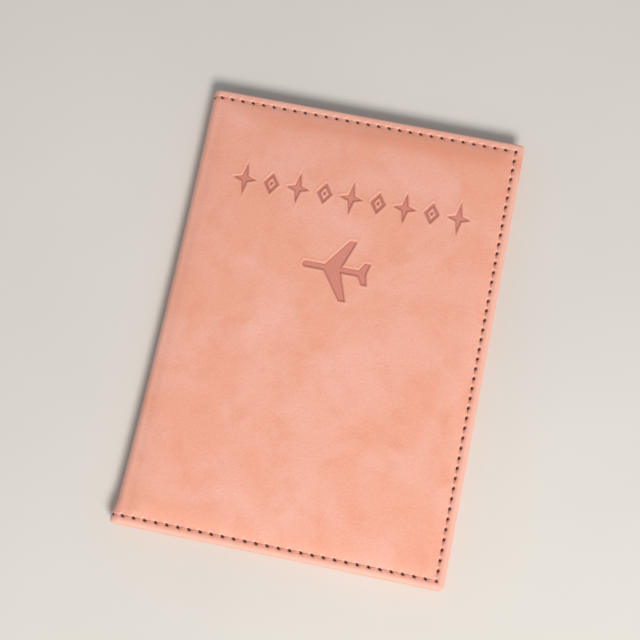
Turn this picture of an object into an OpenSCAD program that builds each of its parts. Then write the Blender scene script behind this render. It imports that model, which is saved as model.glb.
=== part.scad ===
// Bifold passport holder in padded leatherette, closed and lying on its back cover.
// Millimetres. +X runs from the spine to the fore-edge, +Y to the top of the cover and +Z up.
// The origin is on the surface it lies on, under the middle of the closed holder.
// A cover's layers are drawn for heights above the mid-plane between the two covers,
// and front_side() or back_side() then puts them above or below that plane.

/* [Closed holder] */
// Width from the spine to the fore-edge
closed_w = 100; // [98:1:106]
// Height of the covers along the spine
cover_h = 140; // [138:1:148]
// Thickness over the two padded faces
closed_t = 8.4; // [8.4:0.2:10]
// Radius of the two rounded fore-edge corners
corner_r = 2.2; // [1:0.2:5]
// Outer radius of each fold of the spine
bend_r = 2.6; // [2.2:0.1:3]

/* [Leather and fillings] */
// Thickness of the outer leatherette
skin_t = 0.8; // [0.6:0.05:0.8]
// Thickness of its skived edge, folded in behind the margin
turn_in_t = 0.5; // [0.3:0.05:0.5]
// Width of the folded edge
turn_in_w = 4.6; // [4:0.2:5]
// How far the padding lifts each face above its stitched margin
puff = 0.9; // [0.4:0.1:1.2]
// Distance over which the padded face rises from the margin
crown_run = 15; // [10:1:20]
// Thickness of the stiffener boards
board_t = 0.6; // [0.4:0.1:0.6]
// Thickness of the lining cloth
lining_t = 0.2; // [0.1:0.05:0.2]

/* [Pockets] */
// Thickness of the card panel and of the passport flap
panel_t = 0.5; // [0.3:0.1:0.5]
// Thickness of each small pocket
pocket_t = 0.4; // [0.3:0.05:0.4]
// Width of the card panel, measured from the fore-edge
card_panel_w = 92; // [88:1:92]
// Height of the uppermost card pocket's mouth above the middle of the cover
card_mouth_y = 16; // [10:1:20]
// Step from one card pocket's mouth down to the next
card_step = 19; // [14:1:20]
// Depth of a card pocket below its mouth
card_depth = 50; // [46:1:50]
// Width of the passport flap, measured from the fore-edge
passport_flap_w = 60; // [50:1:70]
// Width of the small pocket on the passport flap
small_pocket_w = 34; // [28:1:40]
// Height of the small pocket on the passport flap
small_pocket_h = 30; // [24:1:36]

/* [Stitching] */
// Distance of the seam from the edge
seam_inset = 2.5; // [2.3:0.1:2.6]
// Stitch length along the top and the bottom
stitch_x = 3.45; // [3:0.05:4]
// Stitch length along the fore-edge
stitch_y = 3.05; // [2.8:0.05:4]
// Diameter of the thread
thread_d = 0.35; // [0.3:0.05:0.35]
// Part of each stitch that dips into its holes
dip = 0.9; // [0.6:0.1:1.2]

/* [Debossed decoration] */
// Depth of the pressed shapes
deboss = 0.35; // [0.1:0.05:0.5]
// Height of the row of stars and diamonds above the middle of the cover
row_y = 42.2; // [36:0.2:48]
// Width of the row
row_w = 75; // [60:1:80]
// Height of a star
star_h = 10; // [6:1:11]
// Length of the aeroplane
plane_l = 21; // [14:1:26]
// Height of the aeroplane above the middle of the cover
plane_y = 18.9; // [10:0.1:24]

/* [Hidden] */

$fn = 48;
cut = 1;                                  // how far a cutting shape runs past what it cuts
joint_gap = 0.3;                          // between a cover's pieces and the spine's
edge_x = closed_w / 2;                    // the fore-edge, and minus this the spine
edge_y = cover_h / 2;
bend_x = bend_r - edge_x;                 // where the spine's folds meet the flat margins
panel_x = bend_x + joint_gap;             // where a cover's own pieces begin
margin_w = seam_inset + 0.5;              // flat border outside the padded face
edge_r = 0.7;                             // rounding of the folded edge
groove_w = 0.8;                           // shallow trough that the seam lies in

// Heights above the mid-plane, from the margin's outer face inwards
margin_h = closed_t / 2 - puff;
turn_top = margin_h - skin_t;
turn_low = turn_top - turn_in_t;
board_low = turn_low;
board_top = board_low + board_t;
lining_low = turn_low - lining_t;
panel_low = lining_low - panel_t;

// Corner points of half an aeroplane, nose to tail, for a length of 1
plane_nose_x = -0.5;
plane_body_r = 0.045;
wing_half = [[-0.21, 0], [0.12, 0.46], [0.22, 0.46], [0.06, 0]];
tail_half = [[0.30, 0], [0.40, 0.165], [0.48, 0.165], [0.44, 0]];

module front_side() { translate([0, 0, closed_t / 2]) children(); }
module back_side() { translate([0, 0, closed_t / 2]) mirror([0, 0, 1]) children(); }

// Outline of a cover set in from its three free edges, starting at x0 on the spine side
module outline(inset, x0) {
    x1 = edge_x - inset;
    y1 = edge_y - inset;
    r = max(corner_r - inset, 0.4);
    translate([x0, -y1]) square([x1 - r - x0, 2 * y1]);
    translate([x0, r - y1]) square([x1 - x0, 2 * (y1 - r)]);
    for (side = [-1, 1]) translate([x1 - r, side * (y1 - r)]) circle(r);
}

// A flat layer of the cover's outline
module layer(inset, x0, low, thick) {
    translate([0, 0, low]) linear_extrude(thick) outline(inset, x0);
}

// Rise of the padded face from the margin to the full puff, as [distance from the edge, height]
function flank(drop) =
    [for (i = [0:6]) [margin_w + crown_run * i / 6, margin_h - drop + puff * sin(15 * i)]];
// The folded edge's quarter round
function folded_edge() =
    [for (i = [0:3]) [edge_r - edge_r * cos(30 * i), margin_h - edge_r + edge_r * sin(30 * i)]];
function from_low(points, low) = [for (p = points) [low + p.x, p.y]];
function from_high(points, high) = [for (i = [len(points) - 1:-1:0]) [high - points[i].x, points[i].y]];

// Solid under a padded face: the same flank rises from the spine, the fore-edge, the top and the bottom
module padded_block(base, along_x, along_y) {
    intersection() {
        translate([0, edge_y, 0]) rotate([90, 0, 0]) linear_extrude(cover_h) polygon(along_x);
        translate([-edge_x, 0, 0]) rotate([90, 0, 90]) linear_extrude(closed_w) polygon(along_y);
    }
}

// Everything inside the outer face
module outer_block() {
    spine_flank = concat([[0, margin_h]], flank(0));
    edge_flank = concat(folded_edge(), flank(0));
    intersection() {
        padded_block(turn_low,
            concat([[panel_x, turn_low]], from_low(spine_flank, panel_x),
                from_high(edge_flank, edge_x), [[edge_x, turn_low]]),
            concat([[-edge_y, turn_low]], from_low(edge_flank, -edge_y),
                from_high(edge_flank, edge_y), [[edge_y, turn_low]]));
        layer(0, panel_x, turn_low, closed_t);
    }
}

// The room under the padded face that the foam fills, one leather thickness down
module inner_block() {
    padded_block(turn_top,
        concat(from_low(flank(skin_t), panel_x), from_high(flank(skin_t), edge_x)),
        concat(from_low(flank(skin_t), -edge_y), from_high(flank(skin_t), edge_y)));
}

// Outer leatherette of one cover, with its edge folded in behind the margin and its seam trough
module cover_skin() {
    difference() {
        outer_block();
        inner_block();
        layer(turn_in_w, panel_x - cut, turn_low - cut, board_top - turn_low + cut);
        translate([0, 0, margin_h - thread_d]) linear_extrude(puff) difference() {
            outline(seam_inset - groove_w / 2, panel_x - cut);
            outline(seam_inset + groove_w / 2, panel_x - 2 * cut);
        }
    }
}

// Foam sheet, skived thin towards its edges by the shape of the face above it
module foam_pad() {
    intersection() {
        inner_block();
        layer(turn_in_w + 0.4, panel_x + 1.5, board_top, closed_t);
    }
}

module stiffener_board() { layer(turn_in_w + 0.6, panel_x + 1.5, board_low, board_t); }
module lining() { layer(1.2, panel_x, lining_low, lining_t); }

// Pressed shapes ----------------------------------------------------------------

// Four-pointed star, with its side points shorter than its upright ones
module star() {
    waist = 0.09 * star_h;
    polygon([for (i = [0:7]) i % 2 == 0
        ? (i % 4 == 0 ? 0.36 : 0.5) * star_h * [cos(45 * i), sin(45 * i)]
        : waist * [cos(45 * i), sin(45 * i)] * sqrt(2)]);
}

module diamond(half_w, half_h) { polygon([[-half_w, 0], [0, half_h], [half_w, 0], [0, -half_h]]); }

module diamond_ring() {
    difference() {
        diamond(0.24 * star_h, 0.34 * star_h);
        diamond(0.13 * star_h, 0.20 * star_h);
    }
    diamond(0.05 * star_h, 0.08 * star_h);
}

// Five stars with four diamonds between them
module ornament_row() {
    pitch = (row_w - 0.72 * star_h) / 8;
    for (i = [0:8]) translate([(i - 4) * pitch, row_y]) {
        if (i % 2 == 0) star();
        else diamond_ring();
    }
}

// Aeroplane seen from above, flying towards the spine
module aeroplane() {
    translate([0, plane_y]) {
        for (side = [-1, 1]) for (half = [wing_half, tail_half])
            polygon([for (p = half) plane_l * [p.x, side * p.y]]);
        translate(plane_l * [plane_nose_x + plane_body_r, -plane_body_r])
            square(plane_l * [0.9, 2 * plane_body_r]);
        translate([plane_l * (plane_nose_x + plane_body_r), 0]) circle(plane_l * plane_body_r);
    }
}

// Thread ------------------------------------------------------------------------

// Stitches laid end to end from a to b, with a dip between each two
module stitch_row(a, b, stitch) {
    count = round(norm(b - a) / stitch);
    step = (b - a) / count;
    for (i = [0:count - 1]) translate(a + step * (i + 0.5))
        rotate([0, 90, atan2(step.y, step.x)])
            cylinder(h = norm(step) - dip, d = thread_d, center = true);
}

// Seam round the three free edges, at centre height h
module edge_seam(h) {
    x1 = edge_x - seam_inset;
    y1 = edge_y - seam_inset;
    for (side = [-1, 1]) stitch_row([panel_x, side * y1, h], [x1, side * y1, h], stitch_x);
    stitch_row([x1, -y1, h], [x1, y1, h], stitch_y);
}

module needle_thread() { edge_seam(margin_h - thread_d / 2); }

// Back cover --------------------------------------------------------------------

module back_cover_skin() { color("lightsalmon") back_side() cover_skin(); }
module back_foam_pad() { color("ivory") back_side() foam_pad(); }
module back_stiffener_board() { color("tan") back_side() stiffener_board(); }
module back_lining() { color("rosybrown") back_side() lining(); }

flap_x = edge_x - passport_flap_w;

// Sleeve that the passport's back cover slides behind, open towards the spine
module passport_flap() { color("lightpink") back_side() layer(0.3, flap_x, panel_low, panel_t); }

module passport_flap_thread() {
    y1 = edge_y - 2 * seam_inset;
    h = panel_low - thread_d / 2;
    color("palevioletred") back_side()
        stitch_row([flap_x + seam_inset, -y1, h], [flap_x + seam_inset, y1, h], stitch_y);
}

small_x = edge_x - small_pocket_w;
small_y = small_pocket_h - edge_y;

// Pocket for a memory or phone card in the flap's outer bottom corner, open at its top
module small_pocket() {
    color("lightpink") back_side() intersection() {
        layer(0.3, small_x, panel_low - pocket_t, pocket_t);
        translate([small_x, -edge_y, -closed_t]) cube([closed_w, small_pocket_h, 2 * closed_t]);
    }
}

module small_pocket_thread() {
    h = panel_low - pocket_t - thread_d / 2;
    x1 = small_x + 1.5;
    color("palevioletred") back_side() {
        stitch_row([x1, 2 * seam_inset - edge_y, h], [x1, small_y - 1, h], stitch_y);
        stitch_row([x1 + 2, small_y - 2, h], [edge_x - 2 * seam_inset, small_y - 2, h], stitch_y);
    }
}

module back_seam_needle_thread() { color("palevioletred") back_side() needle_thread(); }

// The bobbin thread's stitches show on the passport flap and, towards the spine, on the lining
module back_seam_bobbin_thread() {
    x1 = edge_x - seam_inset;
    y1 = edge_y - seam_inset;
    h = panel_low - thread_d / 2;
    small_h = h - pocket_t;
    lining_h = lining_low - thread_d / 2;
    color("palevioletred") back_side() {
        for (side = [-1, 1])
            stitch_row([panel_x, side * y1, lining_h], [flap_x - 0.3, side * y1, lining_h], stitch_x);
        stitch_row([flap_x + 0.3, y1, h], [x1, y1, h], stitch_x);
        stitch_row([x1, y1, h], [x1, small_y + 0.3, h], stitch_y);
        stitch_row([flap_x + 0.3, -y1, h], [small_x - 0.3, -y1, h], stitch_x);
        stitch_row([x1, small_y - 0.3, small_h], [x1, -y1, small_h], stitch_y);
        stitch_row([small_x + 0.3, -y1, small_h], [x1, -y1, small_h], stitch_x);
    }
}

// Spine -------------------------------------------------------------------------

// Section of the folded spine, one layer depth in from its outer face
module spine_section(depth) {
    r = bend_r - depth;
    rise = margin_h - bend_r;
    for (side = [-1, 1]) translate([bend_x, side * rise]) circle(r);
    translate([bend_x - r, -rise]) square([2 * r, 2 * rise]);
}

// Strip of the spine between two depths, over a length centred at y
module spine_strip(outer_depth, inner_depth, y, length) {
    translate([0, y + length / 2, closed_t / 2]) rotate([90, 0, 0]) linear_extrude(length) difference() {
        spine_section(outer_depth);
        spine_section(inner_depth);
        translate([bend_x, -closed_t]) square(2 * closed_t);
    }
}

// The outer leatherette's narrow strip between the covers, folded in at its top and bottom edges
module spine_skin() {
    color("salmon") difference() {
        union() {
            spine_strip(0, skin_t, 0, cover_h);
            for (side = [-1, 1])
                spine_strip(skin_t, skin_t + turn_in_t, side * (edge_y - turn_in_w / 2), turn_in_w);
        }
        for (side = [-1, 1])
            spine_strip(-cut, thread_d, side * (edge_y - seam_inset), groove_w);
    }
}

module spine_lining() {
    depth = skin_t + turn_in_t;
    color("rosybrown") spine_strip(depth, depth + lining_t, 0, cover_h - 2.4);
}

// Three stitches of the seam at each end of the spine: one round each fold and one between them
module spine_seam_thread() {
    r = bend_r - thread_d / 2;
    rise = margin_h - bend_r;
    color("palevioletred") for (end = [-1, 1])
        translate([bend_x, end * (edge_y - seam_inset), closed_t / 2]) rotate([90, 0, 0]) {
            for (start = [100, 192])
                translate([0, start < 180 ? rise : -rise]) rotate(start)
                    rotate_extrude(angle = 68) translate([r, 0]) circle(d = thread_d);
            translate([-r, 0]) rotate([90, 0, 0]) cylinder(h = 2 * rise, d = thread_d, center = true);
        }
}

// Front cover -------------------------------------------------------------------

module front_cover_skin() {
    color("lightsalmon") front_side() difference() {
        cover_skin();
        translate([0, 0, closed_t / 2 - deboss]) linear_extrude(cut) {
            ornament_row();
            aeroplane();
        }
    }
}

module front_foam_pad() { color("ivory") front_side() foam_pad(); }
module front_stiffener_board() { color("tan") front_side() stiffener_board(); }
module front_lining() { color("rosybrown") front_side() lining(); }

card_panel_x = edge_x - card_panel_w;

// Panel that the card pockets are sewn to, with a slip pocket behind it open towards the spine
module card_panel() { color("lightpink") front_side() layer(0.3, card_panel_x, panel_low, panel_t); }

module card_panel_thread() {
    y1 = edge_y - 2 * seam_inset;
    h = panel_low - thread_d / 2;
    x1 = card_panel_x + 1;
    color("palevioletred") front_side() stitch_row([x1, card_mouth_y + 1, h], [x1, y1, h], stitch_y);
}

// Mouth height of card pocket i, counted from the uppermost
function mouth_y(i) = card_mouth_y - i * card_step;
function pocket_low(i) = panel_low - (i + 1) * pocket_t;

// Card pocket i: a strip of leatherette lapped over the one above it, and only the last reaches the seam
module card_pocket(i) {
    low_y = i == 2 ? -edge_y : mouth_y(i) - card_depth;
    color("lightpink") front_side() intersection() {
        layer(0.3, card_panel_x, pocket_low(i), pocket_t);
        translate([-edge_x, low_y, -closed_t]) cube([closed_w, mouth_y(i) - low_y, 2 * closed_t]);
    }
}

module card_pocket_upper() { card_pocket(0); }
module card_pocket_middle() { card_pocket(1); }
module card_pocket_lower() { card_pocket(2); }

// A row of stitches along the folded mouth of each card pocket
module card_pocket_thread() {
    color("palevioletred") front_side() for (i = [0:2]) {
        y = mouth_y(i) - 2;
        h = pocket_low(i) - thread_d / 2;
        stitch_row([card_panel_x + 3, y, h], [edge_x - 2 * seam_inset, y, h], stitch_y);
    }
}

module front_seam_needle_thread() { color("palevioletred") front_side() needle_thread(); }

// The bobbin thread's stitches show on the card panel and on whichever pocket lies over it
module front_seam_bobbin_thread() {
    x1 = edge_x - seam_inset;
    y1 = edge_y - seam_inset;
    tops = [y1, mouth_y(0), mouth_y(1), mouth_y(2), -y1];
    color("palevioletred") front_side() {
        for (i = [0:3]) {
            h = panel_low - i * pocket_t - thread_d / 2;
            stitch_row([x1, tops[i] - 0.3, h], [x1, tops[i + 1] + 0.3, h], stitch_y);
        }
        for (side = [-1, 1]) {
            h = (side < 0 ? pocket_low(2) : panel_low) - thread_d / 2;
            stitch_row([card_panel_x + 0.3, side * y1, h], [x1, side * y1, h], stitch_x);
        }
    }
}

back_cover_skin();
back_foam_pad();
back_stiffener_board();
back_lining();
passport_flap();
passport_flap_thread();
small_pocket();
small_pocket_thread();
back_seam_needle_thread();
back_seam_bobbin_thread();
spine_skin();
spine_lining();
spine_seam_thread();
front_cover_skin();
front_foam_pad();
front_stiffener_board();
front_lining();
card_panel();
card_panel_thread();
card_pocket_upper();
card_pocket_middle();
card_pocket_lower();
card_pocket_thread();
front_seam_needle_thread();
front_seam_bobbin_thread();
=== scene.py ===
"""Bifold passport holder in padded leatherette, as detailed pieces over the packed frame.

Sizes are in millimetres until a mesh is made, and places come from the frame's own boxes.
Each cover is drawn on its leather laid flat: u runs from the spine to the fore-edge, v up the
cover, and `out` is the distance outwards from the margin's outer face. wrap() folds that round
the spine and puts it on the front or the back.
"""

import math

import bmesh
import bpy
import numpy as np
from bpy.props import FloatProperty, FloatVectorProperty, PointerProperty
from bpy.types import Operator, Panel, PropertyGroup
from mathutils import Matrix, Vector


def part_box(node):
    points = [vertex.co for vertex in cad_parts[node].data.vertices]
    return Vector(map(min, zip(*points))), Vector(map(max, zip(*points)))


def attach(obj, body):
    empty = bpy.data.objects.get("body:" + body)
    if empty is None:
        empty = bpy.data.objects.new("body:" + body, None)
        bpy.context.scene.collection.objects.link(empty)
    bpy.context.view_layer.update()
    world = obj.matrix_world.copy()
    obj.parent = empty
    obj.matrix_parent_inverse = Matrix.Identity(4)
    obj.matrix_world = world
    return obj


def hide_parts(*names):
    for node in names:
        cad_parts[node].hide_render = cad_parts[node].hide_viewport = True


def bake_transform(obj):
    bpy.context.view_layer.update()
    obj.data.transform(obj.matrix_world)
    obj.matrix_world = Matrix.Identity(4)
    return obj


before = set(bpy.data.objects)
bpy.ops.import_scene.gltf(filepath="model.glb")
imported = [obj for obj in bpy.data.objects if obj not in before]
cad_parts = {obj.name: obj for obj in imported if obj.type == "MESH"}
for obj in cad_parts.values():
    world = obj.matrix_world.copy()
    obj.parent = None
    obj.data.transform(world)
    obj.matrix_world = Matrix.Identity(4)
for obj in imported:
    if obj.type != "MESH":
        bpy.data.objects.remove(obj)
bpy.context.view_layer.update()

bl_info = {
    "name": "Padded Passport Holder",
    "version": (1, 0, 0),
    "blender": (4, 5, 0),
    "location": "View3D > Sidebar > Holder",
    "description": "Makes a stitched, padded passport holder over its packed frame",
    "category": "Add Mesh",
}

MM = 0.001
FRONT = 1
BACK = -1


def span(node):
    """Lowest and highest corner of a CAD node, in millimetres."""
    low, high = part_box(node)
    return np.round(np.array(low) / MM, 3), np.round(np.array(high) / MM, 3)


EDGE_X, EDGE_Y, TOP = span("front_cover_skin")[1]
MIDDLE = TOP / 2
NEEDLE = span("front_seam_needle_thread")
THREAD = NEEDLE[1][2] - NEEDLE[0][2]
MARGIN = NEEDLE[1][2] - MIDDLE
SEAM = EDGE_X - NEEDLE[1][0] + THREAD / 2
BEND_X = span("spine_skin")[1][0]
BEND_R = BEND_X + EDGE_X
RISE = MARGIN - BEND_R
PANEL_X = span("front_cover_skin")[0][0]
BOARD = span("front_stiffener_board") - np.array([0, 0, MIDDLE])
LINING = span("front_lining") - np.array([0, 0, MIDDLE])
FOLD_U = BEND_X - BEND_R * math.pi / 2 - RISE
SEAM_X = EDGE_X - SEAM
SEAM_Y = EDGE_Y - SEAM
FACE_START = PANEL_X + 0.6


# Sizes and colours ---------------------------------------------------------------------------


def linear(code):
    """Linear colour of an sRGB hex value, by the sRGB transfer curve."""
    channels = np.array([int(code[i : i + 2], 16) / 255 for i in (0, 2, 4)])
    curve = np.where(channels <= 0.04045, channels / 12.92, ((channels + 0.055) / 1.055) ** 2.4)
    return tuple(float(c) for c in curve)


def length(name, text, millimetres):
    """A property that holds a length."""
    return FloatProperty(
        name=name, description=text, default=millimetres * MM, min=0, unit="LENGTH", precision=5
    )


def colour(name, text, code):
    """A property that holds a colour."""
    return FloatVectorProperty(
        name=name, description=text, default=linear(code), size=3, min=0, max=1, subtype="COLOR"
    )


class HolderShape(PropertyGroup):
    """Sizes of the leather and of its seams."""

    puff: length("Puff", "How far the padding lifts the face above its margin", 0.9)
    edge_puff: length("Edge puff", "Part of the puff that rises close to the seam", 0.45)
    ripple: length("Ripple", "Height of the slow waves in the face", 0.05)
    spine_bow: length("Spine bow", "How far the spine pulls in at mid-height", 0.8)
    spine_flare: length("Spine flare", "How far the foot of the spine stands out below the seam", 0.8)
    loose: length("Loose pockets", "How far a pocket's mouth stands off what lies behind it", 0.22)
    corner: length("Corner", "Radius of the two fore-edge corners", 1.3)
    turn_in: length("Turn-in", "Width of the edge folded in behind the margin", 4.6)
    stitch_across: length("Stitch across", "Stitch length along the top and the bottom", 3.38)
    stitch_down: length("Stitch down", "Stitch length along the fore-edge", 3.05)
    groove: length("Groove", "Depth of the trough the seam lies in", 0.13)
    hole: length("Hole", "Depth of a needle hole", 0.5)
    pucker: length("Pucker", "Height of the lip beside a needle hole", 0.2)


class HolderDecoration(PropertyGroup):
    """Sizes of the shapes pressed into the front."""

    depth: length("Depth", "Depth of the pressed shapes", 0.35)
    row_y: length("Row height", "Height of the row above the middle of the cover", 42.2)
    row_width: length("Row width", "Width of the row of stars and diamonds", 75)
    star: length("Star", "Height of a star", 10)
    plane: length("Aeroplane", "Length of the aeroplane", 21)
    plane_y: length("Aeroplane height", "Height of the aeroplane above the middle", 18.9)


class HolderColours(PropertyGroup):
    """Colours of the finishes."""

    leather: colour("Leather", "Salmon of the outer leather", "F0A88F")
    # Pale leather: its own paler clouds, and the painted highlight on the lips beside the needle holes
    # and along the edge's outer rim
    leather_pale: colour("Pale leather", "Paler clouds and rubbed lips of the leather", "F5C0B0")
    # Deep leather: its own deeper clouds, and the painted shade in the band inside the top seam and in
    # the seam's trough
    leather_deep: colour("Deep leather", "Deeper clouds of the leather", "E8987C")
    leather_pressed: colour("Pressed leather", "Dusty rose of the pressed shapes", "CF8070")
    # Painted shade: the brown on the walls of the pressed shapes and in the thread's shadow behind each
    # hole
    leather_shade: colour("Shadowed leather", "Brown of the walls of the pressed shapes", "8A4030")
    # Painted shade: the near-black inside the needle holes and on the thread's ends in them
    hole: colour("Needle hole", "Brown inside a needle hole", "2A0D08")
    thread: colour("Thread", "Rose brown of the sewing thread", "DD9783")
    pocket: colour("Pocket leather", "Salmon of the pockets", "E9A590")
    lining: colour("Lining", "Rose of the woven lining", "D69E8D")
    foam: colour("Foam", "Cream of the foam", "EFE3C4")
    board: colour("Board", "Grey brown of the board", "A3927B")


class HolderStage(PropertyGroup):
    """The floor and the light."""

    floor: colour("Floor", "Pale table top", "DDD9D2")
    key: FloatProperty(name="Key", description="Power of the window light", default=3.9, unit="POWER")
    fill: FloatProperty(name="Fill", description="Strength of the light from all round", default=0.36)


def lengths(group):
    """The lengths of a property group, in millimetres, by name."""
    return {name: getattr(group, name) / MM for name in group.__annotations__}


# Surfaces ------------------------------------------------------------------------------------


def smooth(x):
    """0 below 0, 1 above 1, and a soft step, 3x squared less 2x cubed, between them."""
    t = np.clip(x, 0, 1)
    return t * t * (3 - 2 * t)


def bell(x, width):
    """A hump of height 1 and half-width `width`: e to the minus (x / width) squared."""
    return np.exp(-((x / width) ** 2))


def wrap(u, v, out, side):
    """Points, in millimetres, of a cover's flat coordinates.

    The leather is flat up to the fold. Past it, it turns a quarter circle of radius BEND_R about the
    fold's centre, u's arc length giving the angle, and then runs straight to the spine's middle."""
    u, v, out = np.broadcast_arrays(u, v, out)
    over = np.maximum(BEND_X - u, 0)
    angle = np.minimum(over / BEND_R, math.pi / 2)
    radius = BEND_R + out
    x = np.maximum(u, BEND_X) - radius * np.sin(angle)
    height = RISE + radius * np.cos(angle) - (over - angle * BEND_R)
    return np.stack([x, v, MIDDLE + side * height], -1).reshape(-1, 3)


def spaced(*stops):
    """Grid lines from the first stop to the last: each stop is (place, spacing up to the next)."""
    runs = [
        np.linspace(a, b, max(1, round((b - a) / gap)), endpoint=False)
        for (a, gap), (b, _) in zip(stops, stops[1:])
    ]
    return np.concatenate(runs + [[stops[-1][0]]])


def grid_faces(rows, columns, first=0):
    """Quads of a grid of points counted row by row, facing out where columns then rows turn left."""
    index = first + np.arange(rows * columns).reshape(rows, columns)
    quads = [index[:-1, :-1], index[:-1, 1:], index[1:, 1:], index[1:, :-1]]
    return np.stack(quads, -1).reshape(-1, 4)


def add_mesh(name, points, faces, material, flat=None, values=None, merge=False):
    """A mesh object from points in millimetres and quads, smooth but for edges over 80 degrees.

    `flat` gives its UV map, a tenth of a metre to the unit, and `values` its named numbers."""
    mesh = bpy.data.meshes.new(name)
    mesh.vertices.add(len(points))
    mesh.vertices.foreach_set("co", (points * MM).astype(np.float32).ravel())
    mesh.loops.add(faces.size)
    mesh.loops.foreach_set("vertex_index", faces.astype(np.int32).ravel())
    mesh.polygons.add(len(faces))
    mesh.polygons.foreach_set("loop_start", np.arange(0, faces.size, 4, dtype=np.int32))
    mesh.update(calc_edges=True)
    if flat is not None:
        corners = flat[faces.ravel()] / 100
        mesh.uv_layers.new(name="Flat").data.foreach_set("uv", corners.astype(np.float32).ravel())
    for key, value in (values or {}).items():
        layer = mesh.attributes.new(key, "FLOAT", "POINT")
        layer.data.foreach_set("value", value.astype(np.float32).ravel())
    if merge:
        work = bmesh.new()
        work.from_mesh(mesh)
        bmesh.ops.remove_doubles(work, verts=work.verts, dist=1e-7)
        work.to_mesh(mesh)
        work.free()
    mesh.validate()
    mesh.shade_smooth()
    mesh.set_sharp_from_angle(angle=math.radians(80))
    mesh.materials.append(material)
    made = bpy.data.objects.new(name, mesh)
    bpy.context.scene.collection.objects.link(made)
    return made


def facing(faces, side):
    """The same quads, turned round where the cover is mirrored to the back."""
    return faces if side == FRONT else faces[:, ::-1]


def laid_flat(u, v, side):
    """UV of the leather laid flat, with both covers on one piece either side of the spine."""
    u, v = np.broadcast_arrays(u, v)
    return np.stack([side * (u - FOLD_U), v], -1).reshape(-1, 2)


# The padded face -----------------------------------------------------------------------------


def blown_sheet():
    """Heights, 0 to 1, of a sheet held along the seam and swollen by the foam under it.

    Blender's cloth is run on an even grid at ten times the size, with its edge pinned and a
    pressure for the foam."""
    columns, rows = 37, 53
    wide, tall = (SEAM_X - FACE_START) / 100, 2 * SEAM_Y / 100
    x, y = np.meshgrid(np.linspace(0, wide, columns), np.linspace(0, tall, rows))
    mesh = bpy.data.meshes.new("blown_sheet")
    points = np.stack([x, y, 0 * x], -1).reshape(-1, 3)
    mesh.from_pydata(points.tolist(), [], grid_faces(rows, columns).tolist())
    sheet = bpy.data.objects.new("blown_sheet", mesh)
    scene = bpy.context.scene
    scene.collection.objects.link(sheet)
    at_edge = (x == 0) | (x == x.max()) | (y == 0) | (y == y.max())
    pins = sheet.vertex_groups.new(name="seam")
    pins.add(np.flatnonzero(at_edge).tolist(), 1, "REPLACE")
    cloth = sheet.modifiers.new("Cloth", "CLOTH")
    cloth.settings.quality = 6
    cloth.settings.mass = 0.3
    cloth.settings.vertex_group_mass = "seam"
    cloth.settings.use_pressure = True
    cloth.settings.uniform_pressure_force = 4
    cloth.settings.effector_weights.gravity = 0
    cloth.collision_settings.use_collision = False
    cloth.point_cache.frame_start = 1
    cloth.point_cache.frame_end = 24
    for step in range(1, 25):
        scene.frame_set(step)
    swollen = sheet.evaluated_get(bpy.context.evaluated_depsgraph_get()).to_mesh()
    heights = np.zeros(rows * columns * 3, np.float32)
    swollen.vertices.foreach_get("co", heights)
    heights = heights.reshape(rows, columns, 3)[..., 2].astype(float)
    scene.frame_set(1)
    bpy.data.objects.remove(sheet)
    bpy.data.meshes.remove(mesh)
    if not heights.max() > 0.01:
        raise RuntimeError("the padded face did not swell")
    return np.clip(heights / heights.max(), 0, 1)


def sampled(heights, s, t):
    """Height at fractions s across and t up a grid: each point counts by a quadratic spline."""
    rows, columns = heights.shape
    padded = np.pad(heights, 1, mode="reflect", reflect_type="odd")
    x = np.clip(s, 0, 1) * (columns - 1)
    y = np.clip(t, 0, 1) * (rows - 1)
    i, j = np.rint(x).astype(int), np.rint(y).astype(int)
    fx, fy = x - i, y - j
    across = [0.5 * (0.5 - fx) ** 2, 0.75 - fx**2, 0.5 * (0.5 + fx) ** 2]
    up = [0.5 * (0.5 - fy) ** 2, 0.75 - fy**2, 0.5 * (0.5 + fy) ** 2]
    return sum(up[b] * across[a] * padded[j + b, i + a] for a in range(3) for b in range(3))


def puffed(u, v, shape, heights):
    """Rise of the padded face: a rounded step beside the seam, 1 less the cube of what is left of
    7 mm, then the blown sheet's own dome, which levels out as the foam runs out of room, 1 less e
    to the minus 3 times its height."""
    from_seam = np.minimum(EDGE_X - u, EDGE_Y - np.abs(v)) - SEAM - 0.3
    from_edge = np.minimum(from_seam, (u - FACE_START) * 0.8)
    s = (u - FACE_START) / (SEAM_X - FACE_START)
    t = (v + SEAM_Y) / (2 * SEAM_Y)
    dome = sampled(heights, s, t) * ((s > 0) & (s < 1) & (t > 0) & (t < 1))
    level = (1 - np.exp(-3 * dome)) / (1 - math.exp(-3))
    near = (1 - (1 - np.clip(from_edge / 7, 0, 1)) ** 3) * smooth(from_edge / 1.2)
    return shape["edge_puff"] * near + (shape["puff"] - shape["edge_puff"]) * level


def ripples(u, v):
    """Slow waves, -1 to 1: the mean of three products of sines, 30 to 60 mm from crest to crest."""
    first = np.sin(u / 8.1 + 0.7 + np.sin(v / 23)) * np.sin(v / 9.7 + 1.9)
    second = np.sin((u + v) / 10.3 + 2.1) * np.sin((u - 0.6 * v) / 8.9 + 0.4)
    third = np.sin(u / 5.2 + 4.2) * np.sin(v / 6.1 + np.sin(u / 17))
    return (first + second + third) / 3


# Pressed shapes ------------------------------------------------------------------------------


def left_of(x, y, a, b):
    """Distance of points to the left of the line from a to b."""
    along = np.subtract(b, a)
    return ((y - a[1]) * along[0] - (x - a[0]) * along[1]) / np.hypot(*along)


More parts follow.
